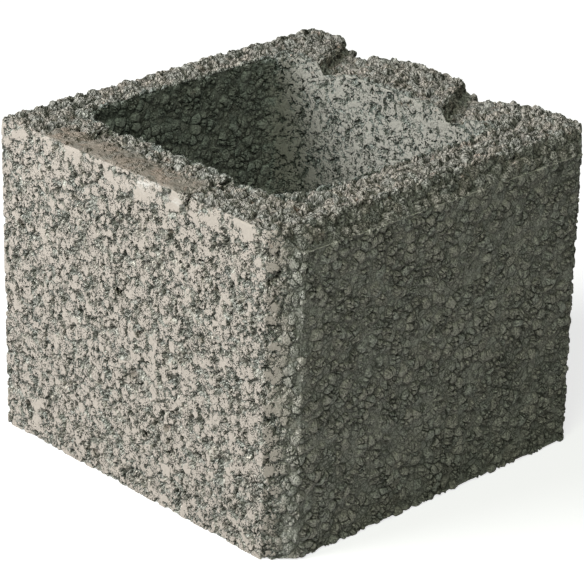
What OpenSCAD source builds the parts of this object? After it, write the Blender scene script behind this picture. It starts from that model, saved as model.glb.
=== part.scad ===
// Hollow concrete block with one cell that goes right through.
// It stands as it is laid: fair face towards -Y, length along X, height along Z.
// The origin is the middle of its foot.

/* [Block] */
// Length along the fair face
block_length = 240; // [200:1:400]
// Width from the fair face to the back
block_width = 230; // [190:1:300]
// Height of one course without its joint
block_height = 190; // [90:1:240]

/* [Walls, measured at the top] */
// Shell behind the fair face
front_shell = 40; // [30:0.5:55]
// Shell at the back
back_shell = 25; // [18:0.5:45]
// End wall on the left
left_wall = 38; // [25:0.5:55]
// End wall on the right
right_wall = 45; // [25:0.5:55]

/* [Cell] */
// Corner radius of the cell at the top
cell_radius = 18; // [6:1:30]
// Widening of the cell on each side, from the top down to the foot
cell_draft = 2.5; // [0:0.1:5]

/* [Fair face edges] */
// Flat cut on the two upright edges, measured along either face
corner_chamfer = 14; // [4:0.5:20]
// Height of the slope on the top edge
bevel_height = 12.5; // [4:0.5:20]
// Depth of that slope, in from the fair face
bevel_depth = 10; // [4:0.5:20]

/* [Core bar marks in the end walls' tops] */
// Distance from the fair face to the front mark's step
front_mark = 75; // [60:1:85]
// Distance between the two steps
mark_spacing = 99; // [60:1:110]
// Steep side of a mark, from its deepest line up to the top
mark_step = 4; // [1:0.5:8]
// Depth of the marks in the left end wall
left_mark_depth = 5; // [1:0.5:12]
// Gentle side of the marks in the left end wall
left_mark_run = 14; // [5:1:34]
// How much shallower the left marks are at the block's outside
left_mark_fade = 4; // [0:0.5:4]
// Depth of the marks in the right end wall
right_mark_depth = 7; // [1:0.5:12]
// Gentle side of the marks in the right end wall
right_mark_run = 34; // [5:1:34]
// How much further back the right marks lie at the block's outside
right_mark_skew = 24; // [0:1:28]

/* [Broken edges] */
// Height of the split in the left end's top edge, beside the front mark
split_height = 14; // [5:1:25]
// Depth of that split into the wall, at the top
split_depth = 7; // [2:0.5:10]
// Width of that split at the top
split_width = 5; // [2:0.5:12]
// Length along the right end's top edge that is spalled off beside each mark
spall_length = 38; // [10:1:40]
// Reach of the spalls in from the right end
spall_reach = 19; // [4:1:20]
// Reach of the spalls down from the top
spall_drop = 12; // [3:1:15]
// Width of the ledge between a mark's deepest line and its spall
spall_ledge = 7; // [0:1:12]

/* [Voids in the two ends] */
// Depth of a void below the end's face
void_depth = 3.5; // [1:0.5:6]
// Width of a void's floor, as a share of its mouth
void_floor = 0.45; // [0.2:0.05:0.9]

/* [Hidden] */
$fn = 64;

// The largest voids of an end: distance from the fair face, height and width of the mouth
voids = [
    [214, 130, 6], [118, 70, 8], [87, 164, 7], [96, 168, 5], [136, 31, 6], [90, 49, 6], [108, 39, 5],
    [210, 19, 6], [151, 11, 6], [130, 117, 5], [62, 112, 6], [114, 97, 5], [51, 144, 5]
];
// Turn between one void's corners and the next one's, in degrees
void_turn = 37;
// Cuts run this far past the faces that they open
past = 1;
// The marks start this far inside the cell, where its corners are round
mark_overlap = 6;
fair_y = -block_width / 2;
left_x = -block_length / 2;
cell_length = block_length - left_wall - right_wall;
cell_width = block_width - front_shell - back_shell;
cell_x = (left_wall - right_wall) / 2;
cell_y = (front_shell - back_shell) / 2;
draft_slope = cell_draft / block_height;

// Widening of the cell at a height, against its size at the top
function widening(z) = (block_height - z) * draft_slope;

// Outline seen from above, cut across the two corners of the fair face
module plan() {
    half_x = block_length / 2;
    half_y = block_width / 2;
    polygon([
        [-half_x, half_y],
        [-half_x, -half_y + corner_chamfer],
        [-half_x + corner_chamfer, -half_y],
        [half_x - corner_chamfer, -half_y],
        [half_x, -half_y + corner_chamfer],
        [half_x, half_y]
    ]);
}

// One drafted plate of the core: a trapezium across X, as long as the straight part along Y
module core_plate(half_span, length) {
    foot_half = half_span + widening(-past);
    top_half = half_span + widening(block_height + past);
    rotate([90, 0, 0])
        linear_extrude(length, center = true)
            polygon([
                [-foot_half, -past],
                [foot_half, -past],
                [top_half, block_height + past],
                [-top_half, block_height + past]
            ]);
}

// Space that the mould's core leaves, with a cone at each corner
module cell() {
    straight_x = cell_length - 2 * cell_radius;
    straight_y = cell_width - 2 * cell_radius;
    translate([cell_x, cell_y, 0]) {
        core_plate(cell_length / 2, straight_y);
        rotate([0, 0, 90])
            core_plate(cell_width / 2, straight_x);
        for (side_x = [-1, 1], side_y = [-1, 1])
            translate([side_x * straight_x / 2, side_y * straight_y / 2, -past])
                cylinder(
                    h = block_height + 2 * past,
                    r1 = cell_radius + widening(-past),
                    r2 = cell_radius + widening(block_height + past)
                );
    }
}

// Slope along the whole top edge of the fair face
module fair_edge_bevel() {
    rise = past * bevel_height / bevel_depth;
    rotate([90, 0, 90])
        linear_extrude(block_length + 2 * past, center = true)
            polygon([
                [fair_y - past, block_height - bevel_height - rise],
                [fair_y + bevel_depth + past, block_height + rise],
                [fair_y - past, block_height + rise]
            ]);
}

// Hollow that a core bar leaves across one end wall, steep towards the back.
// It starts at the cell's side, runs out past the block's end and may fade on the way.
module bar_mark(depth, run, skew, wall, fade) {
    slant = atan2(skew, wall);
    climb = atan2(fade, wall);
    reach = (wall + past + run + mark_overlap) / cos(slant);
    rotate([0, -climb, slant])
        rotate([90, 0, 90])
            translate([0, 0, -mark_overlap])
                linear_extrude(reach)
                    polygon([
                        [-run * (1 + past / depth), past],
                        [0, -depth],
                        [mark_step * (1 + past / depth), past]
                    ]);
}

// Both marks of both end walls, placed at the top of the block
module bar_marks() {
    for (step_y = [front_mark, front_mark + mark_spacing]) {
        translate([left_x + left_wall, fair_y + step_y, block_height])
            mirror([1, 0, 0])
                bar_mark(left_mark_depth, left_mark_run, 0, left_wall, left_mark_fade);
        translate([-left_x - right_wall, fair_y + step_y, block_height])
            bar_mark(right_mark_depth, right_mark_run, right_mark_skew, right_wall, 0);
    }
}

// Split down the outside of the left end, beside the front mark: a groove that ends at its foot
module edge_split() {
    lean = atan2(split_depth, split_height);
    side = split_width / split_depth / 2;
    outside = split_depth + past;
    translate([left_x, fair_y + front_mark, block_height])
        rotate([0, lean, 0])
            translate([0, 0, -2 * split_height])
                linear_extrude(2 * split_height + split_depth)
                    polygon([
                        [split_depth, 0],
                        [-outside, side * (split_depth + outside)],
                        [-outside, -side * (split_depth + outside)]
                    ]);
}

// Flat spall off the right end's top edge: nothing at its front, widest where it meets a mark's step
module edge_spall() {
    slant = atan2(spall_reach, spall_length);
    along = spall_length / cos(slant);
    across = spall_reach / cos(slant);
    outside = across + past;
    rotate([90, 0, slant])
        translate([0, 0, -along])
            linear_extrude(along)
                polygon([
                    [0, 0],
                    [outside, -outside * spall_drop / across],
                    [outside, past],
                    [0, past]
                ]);
}

// The spalls of both marks, each ending a ledge's width before its mark's deepest line
module edge_spalls() {
    set_back = spall_ledge + spall_length + spall_reach * spall_reach / spall_length;
    for (step_y = [front_mark, front_mark + mark_spacing])
        translate([-left_x, fair_y + step_y + right_mark_skew - set_back, block_height])
            edge_spall();
}

// Voids in the left end's face, six-sided and narrower at the floor
module end_voids() {
    taper = (1 - void_floor) / void_depth;
    for (i = [0 : len(voids) - 1])
        translate([left_x + void_depth, fair_y + voids[i][0], voids[i][1]])
            rotate([0, -90, 0])
                rotate([0, 0, i * void_turn])
                    cylinder(
                        h = void_depth + past,
                        d1 = voids[i][2] * void_floor,
                        d2 = voids[i][2] * (1 + past * taper),
                        $fn = 6
                    );
}

// The whole casting
module block() {
    color([0.52, 0.51, 0.47])
        difference() {
            linear_extrude(block_height)
                plan();
            cell();
            fair_edge_bevel();
            bar_marks();
            edge_split();
            edge_spalls();
            end_voids();
            mirror([1, 0, 0])
                end_voids();
        }
}

block();
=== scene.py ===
import math

import bmesh
import bpy
from mathutils import Matrix, Vector


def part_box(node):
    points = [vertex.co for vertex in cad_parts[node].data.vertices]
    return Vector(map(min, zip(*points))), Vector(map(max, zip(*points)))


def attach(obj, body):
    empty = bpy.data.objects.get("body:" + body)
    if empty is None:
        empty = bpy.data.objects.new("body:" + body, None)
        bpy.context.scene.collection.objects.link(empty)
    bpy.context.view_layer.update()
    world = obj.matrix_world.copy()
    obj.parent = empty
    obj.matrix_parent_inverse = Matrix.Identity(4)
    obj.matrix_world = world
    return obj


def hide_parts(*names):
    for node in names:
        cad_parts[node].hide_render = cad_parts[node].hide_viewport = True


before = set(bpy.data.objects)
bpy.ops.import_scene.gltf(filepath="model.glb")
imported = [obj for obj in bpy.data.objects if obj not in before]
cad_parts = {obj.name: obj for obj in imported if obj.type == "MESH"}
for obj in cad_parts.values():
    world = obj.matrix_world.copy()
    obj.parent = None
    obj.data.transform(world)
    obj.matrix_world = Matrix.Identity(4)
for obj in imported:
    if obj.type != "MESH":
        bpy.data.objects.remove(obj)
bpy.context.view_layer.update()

# The block
# One casting of open-textured concrete: gravel and coarse sand held by a little cement paste, vibrated into
# a steel mould and struck off on top. The mould presses the outer grains flat and leaves pits between them.
block_low, block_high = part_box("block")
block_low = Vector(block_low)
block_high = Vector(block_high)
block_middle = (block_low + block_high) / 2
mesh_pitch = 0.0008


def loose_copy(node, name):
    """A copy of a CAD node's mesh with its shared corners merged."""
    mesh = node.data.copy()
    mesh.name = name
    shape = bmesh.new()
    shape.from_mesh(mesh)
    bmesh.ops.remove_doubles(shape, verts=shape.verts, dist=1e-6)
    shape.to_mesh(mesh)
    shape.free()
    piece = bpy.data.objects.new(name, mesh)
    bpy.context.scene.collection.objects.link(piece)
    return piece


def wire(tree, kind, inputs=(), **settings):
    """Adds one node, sets it up, and links or fills its inputs by name or number."""
    node = tree.nodes.new(kind)
    for key, value in settings.items():
        setattr(node, key, value)
    for key, value in dict(inputs).items():
        if isinstance(value, bpy.types.NodeSocket):
            tree.links.new(value, node.inputs[key])
        else:
            node.inputs[key].default_value = value
    return node


def sums(tree, operation, a, b=0.0, c=None):
    """One step of arithmetic between sockets or numbers."""
    inputs = {0: a, 1: b}
    if c is not None:
        inputs[2] = c
    return wire(tree, "ShaderNodeMath", inputs, operation=operation).outputs[0]


def spread(tree, value, low, high, to_low=0.0, to_high=1.0):
    """A value carried from one span to another, held at both ends."""
    node = wire(
        tree,
        "ShaderNodeMapRange",
        {"Value": value, "From Min": low, "From Max": high, "To Min": to_low, "To Max": to_high},
        clamp=True,
    )
    return node.outputs["Result"]


def speckle(tree, place, size, detail=2.0, roughness=0.5):
    """Smooth noise from about -1 to 1 whose lumps are about as wide as size."""
    noise = wire(
        tree,
        "ShaderNodeTexNoise",
        {"Vector": place, "Scale": 0.6 / size, "Detail": detail, "Roughness": roughness},
    )
    return sums(tree, "MULTIPLY_ADD", noise.outputs[0], 3.2, -1.6)


def warped(tree, place, size, amount):
    """The same place pushed about a little, so that grains aren't round."""
    noise = wire(tree, "ShaderNodeTexNoise", {"Vector": place, "Scale": 0.6 / size, "Detail": 1.0})
    colour = noise.outputs["Color"]
    centred = wire(
        tree, "ShaderNodeVectorMath", {0: colour, 1: (0.5, 0.5, 0.5)}, operation="SUBTRACT"
    )
    scaled = wire(
        tree,
        "ShaderNodeVectorMath",
        {0: centred.outputs[0], "Scale": 2 * amount},
        operation="SCALE",
    )
    pushed = wire(
        tree, "ShaderNodeVectorMath", {0: place, 1: scaled.outputs[0]}, operation="ADD"
    )
    return pushed.outputs[0]


def grains(tree, place, size):
    """Packed grains: 1 on a crown, 0 or less in the gaps, and each grain's own numbers."""
    cells = wire(
        tree,
        "ShaderNodeTexVoronoi",
        {"Vector": place, "Scale": 1 / size, "Randomness": 1.0},
        feature="F1",
    )
    away = sums(tree, "MINIMUM", sums(tree, "DIVIDE", cells.outputs["Distance"], 0.62), 1.3)
    crown = sums(tree, "SUBTRACT", 1.0, sums(tree, "POWER", away, 3.0))
    own = wire(tree, "ShaderNodeSeparateXYZ", {0: cells.outputs["Color"]}).outputs
    return crown, own


def rims(tree, place, size):
    """How far a place lies from the nearest seam between two packed grains, against their size."""
    cells = wire(
        tree,
        "ShaderNodeTexVoronoi",
        {"Vector": place, "Scale": 1 / size, "Randomness": 1.0},
        feature="DISTANCE_TO_EDGE",
    )
    return cells.outputs["Distance"]


# Widths of the grains that show, and heights on the raw surface
stone_width = 0.0058
stone_rise = 0.0013
stone_uneven = 0.0007
grit_width = 0.0029
grit_rise = 0.0011
sand_width = 0.0015
sand_rise = 0.0006
fine_width = 0.0009
fine_rise = 0.00065
pinhole = 0.0010
pinhole_depth = 0.0012
# Height on a grain that counts as its middle, and on a stone that is set in paste
grain_middle = 0.6
pebble_middle = 0.8
# The surface as a whole wanders in and out over this width
patch_size = 0.022
patch_rise = 0.0004
# Widths and distances over which the grains are pushed out of round
bend_width = 0.0045
bend_reach = 0.0016
small_bend_width = 0.0018
small_bend_reach = 0.0007
# Up to the first share of the big grains are single stones, and past the second they are clusters
single_stones = 0.3
not_clusters = 0.5
cluster_least = 0.25
# Seams between the pebbles of the fair face, the back and the shaded cell walls. The opening is a share of
# the grain's width, and where it falls below nothing the seam is closed by paste.
seam_usual = 0.002
seam_open = 0.05
seam_patch = 0.006
seam_side = 0.06
small_seam_side = 0.10
seam_depth = 0.0010
small_seam_depth = 0.0005
pebble_uneven = 0.0012
pebble_dome = 0.0016
pebble_grit = 0.9
pebble_least_grit = 0.1
# Brightness left by the painted shade in the gaps between grains, and in the seams
grit_gap_shade = 0.30
sand_gap_shade = 0.60
seam_shade = 0.24
small_seam_shade = 0.38
# Share of the clusters' small grains that is left where the chamfers turn away from the ends
well_filled = 0.55
# The big grains stand this much higher where the top was struck off, and wider clumps rise among them
struck_lumps = 1.4
clump_width = 0.009
clump_rise = 0.0009
# In the cell the big grains hardly show, and the grit between them does
core_stones = 0.35
core_grit = 0.8


# The cell's sides at the top
cell_left = -0.082
cell_right = 0.075
cell_front = -0.075
cell_back = 0.090


def parts_of(tree, place):
    """X, Y and Z of a place."""
    return wire(tree, "ShaderNodeSeparateXYZ", {0: place}).outputs


def at_ends(tree, place):
    """1 on the block's two end faces, falling to 0 across the chamfers."""
    across = sums(tree, "ABSOLUTE", parts_of(tree, place)["X"])
    return spread(tree, across, block_high.x - 0.012, block_high.x - 0.004)


def in_cell(tree, place):
    """1 on the cell's walls."""
    x, y, _ = parts_of(tree, place)
    inside = sums(
        tree,
        "MINIMUM",
        sums(tree, "MINIMUM", sums(tree, "SUBTRACT", x, cell_left), sums(tree, "SUBTRACT", cell_right, x)),
        sums(tree, "MINIMUM", sums(tree, "SUBTRACT", y, cell_front), sums(tree, "SUBTRACT", cell_back, y)),
    )
    return spread(tree, inside, -0.0045, -0.0030)


def inside_marks(tree, place):
    """1 on the broken faces of the marks, well inside the end walls and near the top."""
    x, y, z = parts_of(tree, place)
    to_end = sums(tree, "SUBTRACT", block_high.x, sums(tree, "ABSOLUTE", x))
    to_cell = sums(
        tree, "MAXIMUM", sums(tree, "SUBTRACT", cell_left, x), sums(tree, "SUBTRACT", x, cell_right)
    )
    within = spread(tree, sums(tree, "MINIMUM", to_end, to_cell), 0.0003, 0.0010)
    behind_front = spread(tree, y, block_low.y + 0.018, block_low.y + 0.022)
    before_back = spread(tree, y, block_high.y - 0.006, block_high.y - 0.003, 1.0, 0.0)
    high_up = spread(tree, z, block_high.z - 0.018, block_high.z - 0.015)
    along = sums(tree, "MULTIPLY", behind_front, before_back)
    return sums(tree, "MULTIPLY", sums(tree, "MULTIPLY", within, high_up), along)


def packed_relief(tree, place, loose, struck, inside, drift):
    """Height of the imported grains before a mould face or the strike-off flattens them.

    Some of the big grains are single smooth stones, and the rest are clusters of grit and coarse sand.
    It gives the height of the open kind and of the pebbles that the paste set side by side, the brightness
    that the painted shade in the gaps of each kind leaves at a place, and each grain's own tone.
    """
    pushed = warped(tree, place, bend_width, bend_reach)
    pushed = warped(tree, pushed, small_bend_width, small_bend_reach)
    stone, own = grains(tree, pushed, stone_width)
    seam = rims(tree, pushed, stone_width)
    grit, _ = grains(tree, pushed, grit_width)
    small_seam = rims(tree, pushed, grit_width)
    sand, _ = grains(tree, pushed, sand_width)
    # Painted shade in the gaps between the open surface's grains
    open_unshaded = sums(
        tree,
        "MULTIPLY",
        spread(tree, grit, -0.7, 0.3, grit_gap_shade, 1.0),
        spread(tree, sand, -0.7, 0.2, sand_gap_shade, 1.0),
    )
    lift = spread(tree, own[0], 0.0, 1.0, stone_rise - stone_uneven, stone_rise + stone_uneven)
    lift = sums(tree, "MULTIPLY", lift, spread(tree, struck, 0.0, 1.0, 1.0, struck_lumps))
    lift = sums(tree, "MULTIPLY", lift, spread(tree, inside, 0.0, 1.0, 1.0, core_stones))
    gritty = spread(tree, own[2], single_stones, not_clusters)
    clustered = spread(tree, own[2], single_stones, not_clusters, cluster_least, 1.0)
    clustered = sums(tree, "MULTIPLY", clustered, loose)
    clustered = sums(tree, "MAXIMUM", clustered, sums(tree, "MULTIPLY", inside, core_grit))
    rough = sums(tree, "MULTIPLY", sums(tree, "SUBTRACT", grit, grain_middle), grit_rise)
    rough = sums(tree, "MULTIPLY_ADD", sums(tree, "SUBTRACT", sand, grain_middle), sand_rise, rough)
    high = sums(tree, "MULTIPLY_ADD", rough, clustered, sums(tree, "MULTIPLY", stone, lift))
    high = sums(tree, "ADD", high, drift)
    opening = sums(tree, "MULTIPLY_ADD", speckle(tree, place, seam_patch, 2.0), seam_open, seam_usual)
    seam = spread(tree, sums(tree, "SUBTRACT", seam, opening), 0.0, seam_side)
    small_seam = spread(tree, sums(tree, "SUBTRACT", small_seam, opening), 0.0, small_seam_side)
    shut = sums(tree, "SUBTRACT", 1.0, gritty)
    small_seam = sums(tree, "MAXIMUM", small_seam, shut)
    pebbles = spread(tree, own[0], 0.0, 1.0, -pebble_uneven, 0.0)
    domed = sums(tree, "SUBTRACT", stone, pebble_middle)
    pebbles = sums(tree, "MULTIPLY_ADD", domed, pebble_dome, pebbles)
    grit_share = sums(tree, "MULTIPLY_ADD", gritty, pebble_grit, pebble_least_grit)
    pebbles = sums(tree, "MULTIPLY_ADD", rough, grit_share, pebbles)
    pebbles = sums(tree, "MULTIPLY_ADD", sums(tree, "SUBTRACT", seam, 1.0), seam_depth, pebbles)
    pebbles = sums(
        tree, "MULTIPLY_ADD", sums(tree, "SUBTRACT", small_seam, 1.0), small_seam_depth, pebbles
    )
    pebbles = sums(tree, "ADD", pebbles, drift)
    # Painted shade in the seams between the pebbles
    set_unshaded = sums(
        tree,
        "MULTIPLY",
        spread(tree, seam, 0.0, 1.0, seam_shade, 1.0),
        spread(tree, small_seam, 0.0, 1.0, small_seam_shade, 1.0),
    )
    return high, pebbles, open_unshaded, set_unshaded, own[1]


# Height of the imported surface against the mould's face at the ends and in the cell, and against the
# strike-off on the open top
pressed_level = -0.0004
core_level = 0.0003
struck_level = -0.0013
struck_share = 0.8
# The pebbles' level, and that of the paste in their deepest seams
set_level = 0.0003
seam_paste_level = -0.0020
seam_paste_swing = 0.0010
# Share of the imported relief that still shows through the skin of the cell, above and below its middle,
# and the level of the paste there
core_through = 0.10
core_middle = 0.0005
core_paste_level = -0.0010
core_paste_swing = 0.0035
# Roundings between a skin and the open surface
skin_round = 0.0002
core_round = 0.0003
set_round = 0.0005
# Share of the finest grains' height on the struck top, and on the pebbles
top_fine = 0.7
pebble_fine = 0.6
# Patches where cement paste came to the mould's face and filled between the grains
paste_patch = 0.0055
paste_share = 0.40
paste_slope = 0.005
# Height below the top edge of the left end over which the paste closes the surface
closed_band = 0.018
# Strip along the outside of the left wall's top that was rubbed smooth with paste
rubbed_width = 0.020
rubbed_back = 0.080
rubbed_front = -0.035
rubbed_share = 0.7
rubbed_round = 0.0004
rubbed_paste_level = 0.0009
rubbed_paste_swing = 0.0006


def rubbed_strip(tree, place):
    """1 on the smoother strip along the top of the left wall."""
    x, y, z = parts_of(tree, place)
    wander = sums(tree, "MULTIPLY", speckle(tree, place, 0.012, 3.0, 0.6), 0.006)
    from_end = sums(tree, "ADD", sums(tree, "SUBTRACT", x, block_low.x), wander)
    near_end = spread(tree, from_end, rubbed_width - 0.002, rubbed_width + 0.002, 1.0, 0.0)
    before = spread(tree, sums(tree, "ADD", y, wander), rubbed_back - 0.004, rubbed_back + 0.004, 1.0, 0.0)
    behind = spread(tree, sums(tree, "ADD", y, wander), rubbed_front - 0.004, rubbed_front + 0.004)
    high_up = spread(tree, z, block_high.z - 0.010, block_high.z - 0.006)
    along = sums(tree, "MULTIPLY", before, behind)
    return sums(tree, "MULTIPLY", sums(tree, "MULTIPLY", near_end, high_up), along)


# Thin fin along the fair face's top edge, where two plates of the mould met
fin_below_top = 0.0125
fin_rise = 0.0005
fin_width = 0.0009


def mould_fin(tree, place):
    """1 on the broken fin line of the fair face."""
    _, y, z = parts_of(tree, place)
    wander = sums(tree, "MULTIPLY", speckle(tree, place, 0.030, 2.0), 0.0004)
    level = sums(tree, "SUBTRACT", sums(tree, "ADD", z, wander), block_high.z - fin_below_top)
    line = spread(tree, sums(tree, "ABSOLUTE", level), fin_width * 0.3, fin_width * 0.7, 1.0, 0.0)
    front = spread(tree, y, block_low.y + 0.001, block_low.y + 0.003, 1.0, 0.0)
    broken = spread(tree, speckle(tree, place, 0.010, 2.0), -0.6, 0.0)
    return sums(tree, "MULTIPLY", sums(tree, "MULTIPLY", line, front), broken)


def slow_parts(tree, place):
    """What changes slowly over the surface: its drift, the clumps, the rubbed strip and the paste."""
    x, y, z = parts_of(tree, place)
    left_end = spread(tree, x, block_low.x + 0.004, block_low.x + 0.008, 1.0, 0.0)
    left_end = sums(
        tree, "MULTIPLY", left_end, spread(tree, y, block_low.y + 0.013, block_low.y + 0.020)
    )
    towards_top = spread(
        tree, z, block_high.z - closed_band - 0.006, block_high.z - closed_band + 0.010, -1.3, 0.15
    )
    islands = sums(tree, "ADD", speckle(tree, place, 0.014, 3.0, 0.6), towards_top)
    closing = sums(tree, "MULTIPLY", spread(tree, islands, -0.25, 0.45, 0.0, 0.40), left_end)
    return {
        "drift": sums(tree, "MULTIPLY", speckle(tree, place, patch_size, 3.0), patch_rise),
        "clump": sums(tree, "MULTIPLY", speckle(tree, place, clump_width, 2.0), clump_rise),
        "rubbed": rubbed_strip(tree, place),
        "paste_share": sums(tree, "SUBTRACT", paste_share, closing),
    }


def cast_relief(tree, place, struck, slow, fine=None, holes=None):
    """Height of the finished surface against the smooth casting, the grains' tone, painted shade in their
    gaps, and masks.

    The shader also gives the finest grains and the pinholes, which the mesh is too coarse for.
    """
    end = at_ends(tree, place)
    x = parts_of(tree, place)["X"]
    lit_wall = sums(tree, "MULTIPLY", in_cell(tree, place), sums(tree, "SUBTRACT", 1.0, struck))
    lit_wall = sums(tree, "MULTIPLY", lit_wall, spread(tree, x, cell_right - 0.020, cell_right - 0.008))
    rubbed = slow["rubbed"]
    loose = sums(tree, "MAXIMUM", spread(tree, end, 0.0, 1.0, well_filled, 1.0), struck)
    high, pebbles, open_unshaded, set_unshaded, own_tone = packed_relief(
        tree, place, loose, struck, lit_wall, slow["drift"]
    )
    if fine is not None:
        finest = sums(tree, "SUBTRACT", fine, grain_middle)
        exposed = sums(tree, "MAXIMUM", rubbed, struck)
        share = spread(tree, exposed, 0.0, 1.0, fine_rise, fine_rise * top_fine)
        high = sums(tree, "MULTIPLY_ADD", finest, share, high)
        pebbles = sums(tree, "MULTIPLY_ADD", finest, fine_rise * pebble_fine, pebbles)
    patch = speckle(tree, place, paste_patch, 3.0, 0.6)
    fill = sums(tree, "MULTIPLY", sums(tree, "SUBTRACT", patch, slow["paste_share"]), paste_slope)
    pressed = sums(tree, "MAXIMUM", sums(tree, "ADD", high, pressed_level), fill)
    if holes is not None:
        pressed = sums(tree, "MULTIPLY_ADD", holes, -pinhole_depth, pressed)
    pressed = sums(tree, "SMOOTH_MIN", pressed, 0.0, skin_round)
    low_fill = sums(tree, "MULTIPLY_ADD", patch, seam_paste_swing, seam_paste_level)
    set_in = sums(tree, "SMOOTH_MAX", sums(tree, "ADD", pebbles, set_level), low_fill, 0.0004)
    set_in = sums(tree, "SMOOTH_MIN", set_in, 0.0, set_round)
    set_in = sums(tree, "MULTIPLY_ADD", mould_fin(tree, place), fin_rise, set_in)
    core_fill = sums(tree, "MULTIPLY_ADD", patch, core_paste_swing, core_paste_level)
    cored = sums(tree, "SMOOTH_MAX", sums(tree, "ADD", high, core_level), core_fill, core_round)
    cored = sums(tree, "SMOOTH_MIN", cored, 0.0, core_round)
    cored = sums(tree, "MULTIPLY_ADD", sums(tree, "SUBTRACT", high, core_middle), core_through, cored)
    set_in = wire(tree, "ShaderNodeMix", {"Factor": lit_wall, "A": set_in, "B": cored}).outputs[0]
    moulded = wire(tree, "ShaderNodeMix", {"Factor": end, "A": set_in, "B": pressed}).outputs[0]
    smear = sums(tree, "SUBTRACT", slow["clump"], rubbed_paste_level)
    smear = sums(tree, "MULTIPLY_ADD", patch, rubbed_paste_swing, smear)
    open_top = sums(tree, "ADD", high, struck_level)
    open_top = sums(tree, "MULTIPLY_ADD", open_top, struck_share, slow["clump"])
    smeared = sums(tree, "MULTIPLY", open_top, rubbed_share)
    smeared = sums(tree, "SMOOTH_MIN", smeared, rubbed_round, rubbed_round)
    smeared = sums(tree, "SMOOTH_MAX", smeared, smear, 0.0005)
    open_top = wire(tree, "ShaderNodeMix", {"Factor": rubbed, "A": open_top, "B": smeared}).outputs[0]
    relief = wire(tree, "ShaderNodeMix", {"Factor": struck, "A": moulded, "B": open_top}).outputs[0]
    bold = sums(tree, "MAXIMUM", sums(tree, "MAXIMUM", end, struck), lit_wall)
    # Painted shade left by the gaps, of the pebbles or of the open surface, and none on the rubbed top
    clear = wire(tree, "ShaderNodeMix", {"Factor": bold, "A": set_unshaded, "B": open_unshaded}).outputs[0]
    clear = sums(tree, "MAXIMUM", clear, sums(tree, "MULTIPLY", rubbed, struck))
    return relief, own_tone, clear, bold, end, lit_wall


# Blur steps of the facing, which rounds the corners' directions, and of the slumped top's places
facing_blur = 7
place_blur = 16
# Width of the lumps in which the top slumps and the edges wear
wear_lumps = 0.008
# The top's wear begins this far below it, and is whole this far below it
wear_begins = 0.010
wear_whole = 0.003
# Share of the relief that the worn edges lose
edge_loss = 0.5


def named(sockets, name):
    """The socket of this name that is in use for the node's data type."""
    return next(socket for socket in sockets if socket.name == name and socket.enabled)


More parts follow.
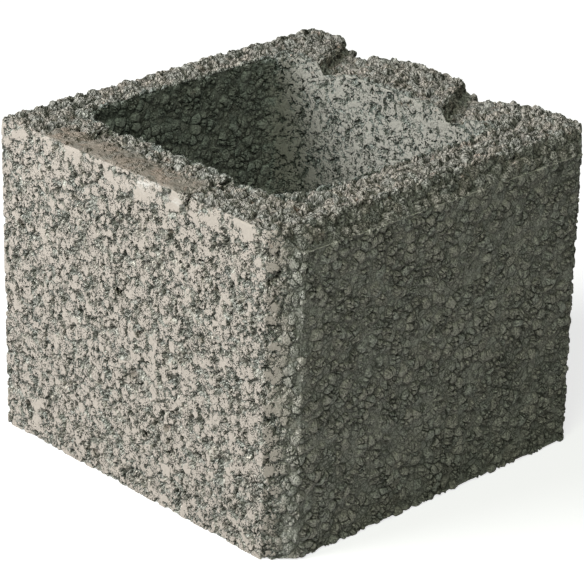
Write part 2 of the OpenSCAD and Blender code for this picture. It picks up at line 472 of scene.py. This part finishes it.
def surface_tree():
    """Geometry Nodes that lay the grain relief on the smooth casting."""
    tree = bpy.data.node_groups.new("cast_surface", "GeometryNodeTree")
    face = tree.interface
    face.new_socket("Geometry", in_out="INPUT", socket_type="NodeSocketGeometry")
    face.new_socket("Relief", in_out="INPUT", socket_type="NodeSocketFloat")
    face.new_socket("Edge wear", in_out="INPUT", socket_type="NodeSocketFloat")
    face.new_socket("Top edge wear", in_out="INPUT", socket_type="NodeSocketFloat")
    face.new_socket("Top slump", in_out="INPUT", socket_type="NodeSocketFloat")
    face.new_socket("Material", in_out="INPUT", socket_type="NodeSocketMaterial")
    face.new_socket("Geometry", in_out="OUTPUT", socket_type="NodeSocketGeometry")
    given = tree.nodes.new("NodeGroupInput").outputs
    place = tree.nodes.new("GeometryNodeInputPosition").outputs[0]
    facing = tree.nodes.new("GeometryNodeInputNormal").outputs[0]
    soft = wire(
        tree,
        "GeometryNodeBlurAttribute",
        {"Iterations": facing_blur},
        data_type="FLOAT_VECTOR",
    )
    tree.links.new(facing, named(soft.inputs, "Value"))
    soft_facing = named(soft.outputs, "Value")
    length = wire(
        tree, "ShaderNodeVectorMath", {0: soft_facing}, operation="LENGTH"
    ).outputs["Value"]
    out = wire(
        tree, "ShaderNodeVectorMath", {0: soft_facing}, operation="NORMALIZE"
    ).outputs[0]
    x, _, height = parts_of(tree, place)
    upward = parts_of(tree, soft_facing)["Z"]
    struck = sums(tree, "MAXIMUM", spread(tree, upward, 0.35, 0.75), inside_marks(tree, place))
    level = spread(tree, height, block_high.z - wear_begins, block_high.z - wear_whole)
    lumps = speckle(tree, place, wear_lumps, 3.0, 0.6)
    lumpy = spread(tree, lumps, -0.8, 0.8, 0.1, 1.0)
    from_left = sums(tree, "SUBTRACT", x, block_low.x)
    lumpy = sums(tree, "MULTIPLY", lumpy, spread(tree, from_left, 0.003, 0.008, 0.7, 1.0))
    slump = sums(tree, "MULTIPLY", sums(tree, "MULTIPLY", level, lumpy), given["Top slump"])
    relaxed = wire(
        tree,
        "GeometryNodeBlurAttribute",
        {"Iterations": place_blur},
        data_type="FLOAT_VECTOR",
    )
    tree.links.new(place, named(relaxed.inputs, "Value"))
    base = wire(
        tree,
        "ShaderNodeMix",
        {"Factor": slump, 4: place, 5: named(relaxed.outputs, "Value")},
        data_type="VECTOR",
    ).outputs[1]
    slow = slow_parts(tree, place)
    relief = cast_relief(tree, place, struck, slow)[0]
    inwards = wire(
        tree, "ShaderNodeVectorMath", {0: named(relaxed.outputs, "Value"), 1: place}, operation="SUBTRACT"
    ).outputs[0]
    bend = wire(
        tree, "ShaderNodeVectorMath", {0: inwards, 1: out}, operation="DOT_PRODUCT"
    ).outputs["Value"]
    edge = spread(tree, length, 0.72, 0.98, 1.0, 0.0)
    edge = sums(tree, "MULTIPLY", edge, spread(tree, bend, -0.00025, -0.00005, 1.0, 0.0))
    share = sums(tree, "MULTIPLY_ADD", edge, -edge_loss, given["Relief"])
    relief = sums(tree, "MULTIPLY", relief, share)
    wear_most = wire(
        tree,
        "ShaderNodeMix",
        {"Factor": level, "A": given["Edge wear"], "B": given["Top edge wear"]},
    ).outputs[0]
    ragged = spread(tree, lumps, -0.4, 0.9, 0.0, 1.0)
    wear = sums(tree, "MULTIPLY", sums(tree, "MULTIPLY", edge, wear_most), ragged)
    rise = sums(tree, "SUBTRACT", relief, wear)
    kept = given["Geometry"]
    for name, kind, value in (
        ("cast_place", "FLOAT_VECTOR", place),
        ("struck", "FLOAT", struck),
        ("relief", "FLOAT", relief),
        ("relief_share", "FLOAT", share),
        ("drift", "FLOAT", slow["drift"]),
        ("clump", "FLOAT", slow["clump"]),
        ("rubbed", "FLOAT", slow["rubbed"]),
        ("paste_share", "FLOAT", slow["paste_share"]),
    ):
        store = wire(
            tree,
            "GeometryNodeStoreNamedAttribute",
            {"Geometry": kept, "Name": name},
            data_type=kind,
            domain="POINT",
        )
        tree.links.new(value, named(store.inputs, "Value"))
        kept = store.outputs[0]
    offset = wire(tree, "ShaderNodeVectorMath", {0: out, "Scale": rise}, operation="SCALE").outputs[0]
    moved = wire(
        tree, "GeometryNodeSetPosition", {"Geometry": kept, "Position": base, "Offset": offset}
    )
    smooth = wire(
        tree, "GeometryNodeSetShadeSmooth", {"Geometry": moved.outputs[0], "Shade Smooth": False}
    )
    real = wire(tree, "GeometryNodeRealizeInstances", {"Geometry": smooth.outputs[0]})
    done = wire(
        tree,
        "GeometryNodeSetMaterial",
        {"Geometry": real.outputs[0], "Material": given["Material"]},
    )
    tree.links.new(done.outputs[0], tree.nodes.new("NodeGroupOutput").inputs[0])
    return tree


def set_input(modifier, name, value):
    """Fills a Geometry Nodes input by the identifier of the socket with this name."""
    for item in modifier.node_group.interface.items_tree:
        if item.item_type == "SOCKET" and item.in_out == "INPUT" and item.name == name:
            modifier[item.identifier] = value


# Colours of the concrete, as reflectance: pressed paste skin, open grains, and painted shade in the cracks
skin_colour = (0.49, 0.437, 0.392, 1)
brown_grain_colour = (0.52, 0.48, 0.425, 1)
blue_grain_colour = (0.465, 0.475, 0.44, 1)
crack_shade_colour = (0.065, 0.07, 0.054, 1)
# Tints of the cell's walls, the struck top and its rubbed strip
cell_colour = (0.88, 0.955, 0.965, 1)
top_colour = (0.86, 0.835, 0.84, 1)
rubbed_colour = (0.72, 0.66, 0.62, 1)
# The fin, the lime smear on the left end's top edge with its two ends, and the red specks
fin_colour = (0.74, 0.71, 0.63, 1)
lime_colour = (0.70, 0.68, 0.65, 1)
smear_front = -0.036
smear_back = 0.006
red_colour = (0.44, 0.27, 0.21, 1)
# Patches of tone over the whole surface, by width and strength
small_mottle = 0.0010
small_mottle_strength = 0.13
wide_mottle = 0.030
wide_mottle_strength = 0.05
# Millimetres in a metre, as the colours and their painted shade follow the depth in millimetres. The skin
# ends at the first depth and is gone at the second, and the struck top counts as this much higher than it
# is.
millimetres = 1000
skin_ends = 0.15
skin_gone = 0.55
struck_lift = 0.5
# Depths at which the painted shade in the gaps begins and is darkest, and that darkness: between the
# pebbles that are set in paste, and on the open surface
set_dark_begins = 0.6
set_darkest = 2.6
set_depth_shade = 0.38
open_dark_begins = 1.1
open_darkest = 3.8
open_depth_shade = 0.66
# Painted shade in the gaps and painted highlight on the crowns of the finest grains, their own tones least
# and most, and how much brighter a few of them are, partly pale sand and partly painted glint
fine_gap_shade = 0.48
fine_crown_highlight = 1.10
fine_dullest = 0.74
fine_brightest = 1.32
glint = 0.42
# Share of the grains' tones and of the finest grains' painted shade that shows on the faces that are set in
# paste, and the share of that painted shade that the rubbed strip loses
set_tones = 0.6
rubbed_evenness = 0.6

# Fine scratches that the mould and its core drew upwards as they came off, and the tooth of the paste
draw_width = 0.0012
draw_depth = 0.00012
tooth_width = 0.0007
tooth_depth = 0.00005


def drawn_band(tree, place):
    """1 on the upper part of the fair face, below its fin."""
    _, y, z = parts_of(tree, place)
    front = spread(tree, y, block_low.y + 0.001, block_low.y + 0.003, 1.0, 0.0)
    low_end = spread(tree, z, block_high.z - 0.050, block_high.z - 0.020)
    return sums(tree, "MULTIPLY", front, low_end)


def concrete_material():
    """Matte cement grey concrete whose colour, with painted shade in its gaps, and bump follow the grain
    relief.
    """
    material = bpy.data.materials.new("open_textured_concrete")
    material.use_nodes = True
    tree = material.node_tree
    tree.nodes.clear()
    place = wire(tree, "ShaderNodeAttribute", attribute_name="cast_place").outputs["Vector"]
    struck = wire(tree, "ShaderNodeAttribute", attribute_name="struck").outputs["Fac"]
    held = wire(tree, "ShaderNodeAttribute", attribute_name="relief").outputs["Fac"]
    share = wire(tree, "ShaderNodeAttribute", attribute_name="relief_share").outputs["Fac"]
    slow = {}
    for name in ("drift", "clump", "rubbed", "paste_share"):
        slow[name] = wire(tree, "ShaderNodeAttribute", attribute_name=name).outputs["Fac"]
    fine, fine_own = grains(tree, warped(tree, place, 0.0012, 0.0003), fine_width)
    holes = spread(tree, speckle(tree, place, pinhole, 1.0), 0.55, 0.8)
    relief, own_tone, clear, bold, end, lit_wall = cast_relief(
        tree, place, struck, slow, fine, holes
    )
    inside = in_cell(tree, place)
    rubbed = slow["rubbed"]
    relief = sums(tree, "MULTIPLY", relief, share)
    upright = wire(
        tree, "ShaderNodeVectorMath", {0: place, 1: (1.0, 1.0, 0.12)}, operation="MULTIPLY"
    ).outputs[0]
    drawn = sums(tree, "MAXIMUM", inside, drawn_band(tree, place))
    drawn = sums(tree, "MULTIPLY", speckle(tree, upright, draw_width, 3.0, 0.6), drawn)
    relief = sums(tree, "MULTIPLY_ADD", drawn, draw_depth, relief)
    tooth = speckle(tree, place, tooth_width, 2.0, 0.7)
    relief = sums(tree, "MULTIPLY_ADD", tooth, tooth_depth, relief)
    bump = wire(
        tree,
        "ShaderNodeBump",
        {"Strength": 1.0, "Distance": 1.0, "Height": sums(tree, "SUBTRACT", relief, held)},
    )
    depth = sums(tree, "MULTIPLY", relief, -millimetres)
    depth = sums(tree, "MULTIPLY_ADD", struck, -struck_lift, depth)
    bared = sums(tree, "MAXIMUM", spread(tree, depth, skin_ends, skin_gone), struck)
    without_skin = sums(tree, "SUBTRACT", 1.0, sums(tree, "MAXIMUM", end, lit_wall))
    bared = sums(tree, "MAXIMUM", bared, without_skin)
    # Painted shade: the deeper a gap, the further its colour goes towards the crack shade colour
    low = wire(
        tree,
        "ShaderNodeMix",
        {
            "Factor": bold,
            "A": spread(tree, depth, set_dark_begins, set_darkest, 0.0, set_depth_shade),
            "B": spread(tree, depth, open_dark_begins, open_darkest, 0.0, open_depth_shade),
        },
    ).outputs[0]
    # The grains' tones and the fine painted shade show only in part on the faces set in paste
    bold = spread(tree, bold, 0.0, 1.0, set_tones, 1.0)
    # Share of the grain colour that the painted shade of depth and of the gaps leaves
    unshaded_share = sums(tree, "MULTIPLY", sums(tree, "SUBTRACT", 1.0, low), clear)
    tone = sums(tree, "MULTIPLY_ADD", sums(tree, "SUBTRACT", own_tone, 0.5), bold, 0.5)
    grain = wire(
        tree,
        "ShaderNodeMix",
        {"Factor": tone, 6: brown_grain_colour, 7: blue_grain_colour},
        data_type="RGBA",
    ).outputs[2]
    open_colour = wire(
        tree,
        "ShaderNodeMix",
        {"Factor": unshaded_share, 6: crack_shade_colour, 7: grain},
        data_type="RGBA",
    ).outputs[2]
    painted = wire(
        tree,
        "ShaderNodeMix",
        {"Factor": bared, 6: skin_colour, 7: open_colour},
        data_type="RGBA",
    ).outputs[2]
    # Painted shade in the gaps and painted highlight on the crowns of the finest grains, times their own
    # tone
    shade = sums(
        tree,
        "MULTIPLY",
        spread(tree, fine, -0.4, 0.4, fine_gap_shade, fine_crown_highlight),
        spread(tree, fine_own[0], 0.0, 1.0, fine_dullest, fine_brightest),
    )
    # Painted glints on a few of the finest grains, partly pale sand
    shade = sums(tree, "ADD", shade, spread(tree, fine_own[1], 0.90, 0.93, 0.0, glint))
    fine_shade_share = sums(tree, "MULTIPLY_ADD", rubbed, -rubbed_evenness, bold)
    fine_shade_share = sums(tree, "MULTIPLY", bared, fine_shade_share)
    shade = wire(tree, "ShaderNodeMix", {"Factor": fine_shade_share, "A": 1.0, "B": shade}).outputs[0]
    spots = speckle(tree, place, small_mottle, 3.0, 0.7)
    mottle_and_painted_shade = sums(tree, "MULTIPLY_ADD", spots, small_mottle_strength, 1.0)
    # The mottle also carries the fine painted shade
    mottle_and_painted_shade = sums(tree, "MULTIPLY", mottle_and_painted_shade, shade)
    clouds = speckle(tree, place, wide_mottle, 2.0, 0.6)
    mottle_and_painted_shade = sums(tree, "MULTIPLY_ADD", clouds, wide_mottle_strength, mottle_and_painted_shade)
    painted = wire(
        tree,
        "ShaderNodeMix",
        {"Factor": inside, 6: painted, 7: cell_colour},
        data_type="RGBA",
        blend_type="MULTIPLY",
    ).outputs[2]
    painted = wire(
        tree,
        "ShaderNodeMix",
        {"Factor": struck, 6: painted, 7: top_colour},
        data_type="RGBA",
        blend_type="MULTIPLY",
    ).outputs[2]
    painted = wire(
        tree,
        "ShaderNodeMix",
        {"Factor": sums(tree, "MULTIPLY", rubbed, struck), 6: painted, 7: rubbed_colour},
        data_type="RGBA",
        blend_type="MULTIPLY",
    ).outputs[2]
    x, y, z = parts_of(tree, place)
    at_arris = sums(
        tree,
        "MULTIPLY",
        spread(tree, x, block_low.x + 0.003, block_low.x + 0.006, 1.0, 0.0),
        spread(tree, z, block_high.z - 0.011, block_high.z - 0.006),
    )
    along_arris = sums(
        tree,
        "MULTIPLY",
        spread(tree, y, smear_front - 0.003, smear_front + 0.003),
        spread(tree, y, smear_back - 0.003, smear_back + 0.003, 1.0, 0.0),
    )
    streaked = wire(
        tree, "ShaderNodeVectorMath", {0: place, 1: (1.0, 0.4, 1.0)}, operation="MULTIPLY"
    ).outputs[0]
    white = spread(tree, speckle(tree, streaked, 0.003, 4.0, 0.7), 0.0, 0.45, 0.0, 0.8)
    white = sums(tree, "MULTIPLY", white, sums(tree, "MULTIPLY", at_arris, along_arris))
    painted = wire(
        tree,
        "ShaderNodeMix",
        {"Factor": white, 6: painted, 7: lime_colour},
        data_type="RGBA",
    ).outputs[2]
    painted = wire(
        tree,
        "ShaderNodeMix",
        {"Factor": sums(tree, "MULTIPLY", mould_fin(tree, place), 0.8), 6: painted, 7: fin_colour},
        data_type="RGBA",
    ).outputs[2]
    high_up = spread(tree, z, block_high.z - 0.012, block_high.z - 0.004)
    red = spread(tree, speckle(tree, place, 0.004, 4.0, 0.7), 0.36, 0.80, 0.0, 0.80)
    painted = wire(
        tree,
        "ShaderNodeMix",
        {"Factor": sums(tree, "MULTIPLY", red, high_up), 6: painted, 7: red_colour},
        data_type="RGBA",
    ).outputs[2]
    coloured = wire(
        tree,
        "ShaderNodeVectorMath",
        {0: painted, "Scale": mottle_and_painted_shade},
        operation="SCALE",
    ).outputs[0]
    shader = wire(
        tree,
        "ShaderNodeBsdfPrincipled",
        {"Base Color": coloured, "Roughness": 0.92, "Normal": bump.outputs[0]},
    )
    shader.inputs["Specular IOR Level"].default_value = 0.25
    tree.links.new(
        shader.outputs[0], tree.nodes.new("ShaderNodeOutputMaterial").inputs["Surface"]
    )
    return material


concrete = concrete_material()
smooth_casting = loose_copy(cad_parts["block"], "smooth_casting")
remesh = smooth_casting.modifiers.new("even_mesh", "REMESH")
remesh.mode = "VOXEL"
remesh.voxel_size = mesh_pitch
texture = smooth_casting.modifiers.new("grain_relief", "NODES")
texture.node_group = surface_tree()
set_input(texture, "Relief", 1.0)
set_input(texture, "Edge wear", 0.0006)
set_input(texture, "Top edge wear", 0.0032)
set_input(texture, "Top slump", 0.8)
set_input(texture, "Material", concrete)
bpy.context.view_layer.update()
made = bpy.data.meshes.new_from_object(
    smooth_casting.evaluated_get(bpy.context.evaluated_depsgraph_get())
)
bpy.data.objects.remove(smooth_casting)
whole = bpy.data.objects.new("whole_casting", made)
bpy.context.scene.collection.objects.link(whole)


def triangle_count(mesh):
    """Triangles in a mesh of any polygons."""
    return sum(len(polygon.vertices) - 2 for polygon in mesh.polygons)


# The whole surface is thinned where it is flat, and then cut in four through the middle of each wall,
# so that no mesh is too big for a library. The four pieces meet exactly on the cuts.
most_triangles = 740000
thin = whole.modifiers.new("thin_where_flat", "DECIMATE")
thin.ratio = min(1.0, most_triangles / triangle_count(made))
bpy.context.view_layer.update()
thinned = bpy.data.meshes.new_from_object(
    whole.evaluated_get(bpy.context.evaluated_depsgraph_get())
)
bpy.data.objects.remove(whole)


def quarter(name, towards_x, towards_y):
    """One corner of the block with its two cuts closed."""
    shape = bmesh.new()
    shape.from_mesh(thinned)
    for way in ((towards_x, 0, 0), (0, towards_y, 0)):
        everything = shape.verts[:] + shape.edges[:] + shape.faces[:]
        cut = bmesh.ops.bisect_plane(
            shape, geom=everything, plane_co=block_middle, plane_no=way, clear_inner=True
        )
        rim = [part for part in cut["geom_cut"] if isinstance(part, bmesh.types.BMEdge)]
        bmesh.ops.holes_fill(shape, edges=rim)
    mesh = bpy.data.meshes.new(name)
    shape.to_mesh(mesh)
    shape.free()
    mesh.materials.append(concrete)
    piece = bpy.data.objects.new(name, mesh)
    bpy.context.scene.collection.objects.link(piece)
    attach(piece, "root")
    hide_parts("block")


quarter("front_left_corner", -1, -1)
quarter("front_right_corner", 1, -1)
quarter("back_left_corner", -1, 1)
quarter("back_right_corner", 1, 1)

# The floor
# A plain pale studio floor that carries the block and takes its soft shadow.
# It isn't part of the object.
floor_reach = 6.0
floor_colour = (0.6, 0.6, 0.6, 1)
floor_glow = 0.75


def floor_material():
    """Pale floor that shows white to the camera and to reflections."""
    material = bpy.data.materials.new("pale_floor")
    material.use_nodes = True
    tree = material.node_tree
    tree.nodes.clear()
    ray = tree.nodes.new("ShaderNodeLightPath").outputs
    seen = sums(tree, "MAXIMUM", ray["Is Camera Ray"], ray["Is Glossy Ray"])
    seen = sums(tree, "MAXIMUM", seen, ray["Is Transmission Ray"])
    cover = wire(tree, "ShaderNodeBsdfDiffuse", {"Color": floor_colour})
    glow = wire(tree, "ShaderNodeEmission", {"Color": (1, 1, 1, 1), "Strength": floor_glow})
    both = wire(tree, "ShaderNodeAddShader", {0: cover.outputs[0], 1: glow.outputs[0]})
    mix = wire(tree, "ShaderNodeMixShader", {0: seen, 1: cover.outputs[0], 2: both.outputs[0]})
    tree.links.new(mix.outputs[0], tree.nodes.new("ShaderNodeOutputMaterial").inputs["Surface"])
    return material


floor_mesh = bpy.data.meshes.new("studio_floor")
floor_mesh.from_pydata(
    [
        (-floor_reach, -floor_reach, 0),
        (floor_reach, -floor_reach, 0),
        (floor_reach, floor_reach, 0),
        (-floor_reach, floor_reach, 0),
    ],
    [],
    [(0, 1, 2, 3)],
)
floor_mesh.materials.append(floor_material())
floor = bpy.data.objects.new("studio_floor", floor_mesh)
bpy.context.scene.collection.objects.link(floor)

# The light
# A broad soft lamp high on the block's left, a little behind it, a weak one high over its left front,
# and an even pale surround. The fair face stays in the shade of the first.


def soft_lamp(name, turn, height, far, size, energy, colour):
    """A round area lamp that faces the block's middle from this direction, in degrees and metres."""
    data = bpy.data.lights.new(name, "AREA")
    data.shape = "DISK"
    data.color = colour
    data.size = size
    data.energy = energy
    turn = math.radians(turn)
    height = math.radians(height)
    way = Vector(
        (math.cos(turn) * math.cos(height), math.sin(turn) * math.cos(height), math.sin(height))
    )
    lamp = bpy.data.objects.new(name, data)
    bpy.context.scene.collection.objects.link(lamp)
    lamp.location = block_middle + way * far
    lamp.rotation_euler = way.to_track_quat("Z", "Y").to_euler()


soft_lamp("main_lamp", 152, 32, 2.2, 1.6, 57, (1.0, 1.0, 1.0))
soft_lamp("fill_lamp", -150, 50, 2.2, 0.8, 13, (0.90, 1.0, 0.80))
world = bpy.data.worlds.new("studio_air")
world.use_nodes = True
air = world.node_tree.nodes["Background"].inputs
air["Color"].default_value = (0.90, 1.0, 0.83, 1)
air["Strength"].default_value = 0.055
bpy.context.scene.world = world
bpy.context.scene.view_settings.view_transform = "Standard"

# The camera
# It stands off the corner between the left end and the fair face and looks a little down, as in the photo.
# The block's middle shows at this pixel of a 584 pixel square picture.
picture_side = 584
middle_shows_at = (297.1, 278.4)
focal_pixels = 2816.9
view_turn = math.radians(46.02)
view_fall = math.radians(24.05)
view_roll = math.radians(1.26)
view_far = 1.5961
ahead = Vector(
    (
        math.cos(view_turn) * math.cos(view_fall),
        math.sin(view_turn) * math.cos(view_fall),
        -math.sin(view_fall),
    )
)
level_right = ahead.cross(Vector((0, 0, 1))).normalized()
level_up = level_right.cross(ahead)
right = level_right * math.cos(view_roll) + level_up * math.sin(view_roll)
up = level_up * math.cos(view_roll) - level_right * math.sin(view_roll)
aside = (middle_shows_at[0] - picture_side / 2) / focal_pixels * view_far
below = (middle_shows_at[1] - picture_side / 2) / focal_pixels * view_far
camera_data = bpy.data.cameras.new("photo_view")
camera_data.sensor_width = 36
camera_data.lens = focal_pixels * camera_data.sensor_width / picture_side
camera_data.clip_start = 0.05
camera = bpy.data.objects.new("photo_view", camera_data)
bpy.context.scene.collection.objects.link(camera)
stand = block_middle - ahead * view_far - right * aside + up * below
camera.matrix_world = Matrix(
    (
        (right.x, up.x, -ahead.x, stand.x),
        (right.y, up.y, -ahead.y, stand.y),
        (right.z, up.z, -ahead.z, stand.z),
        (0, 0, 0, 1),
    )
)
bpy.context.scene.camera = camera
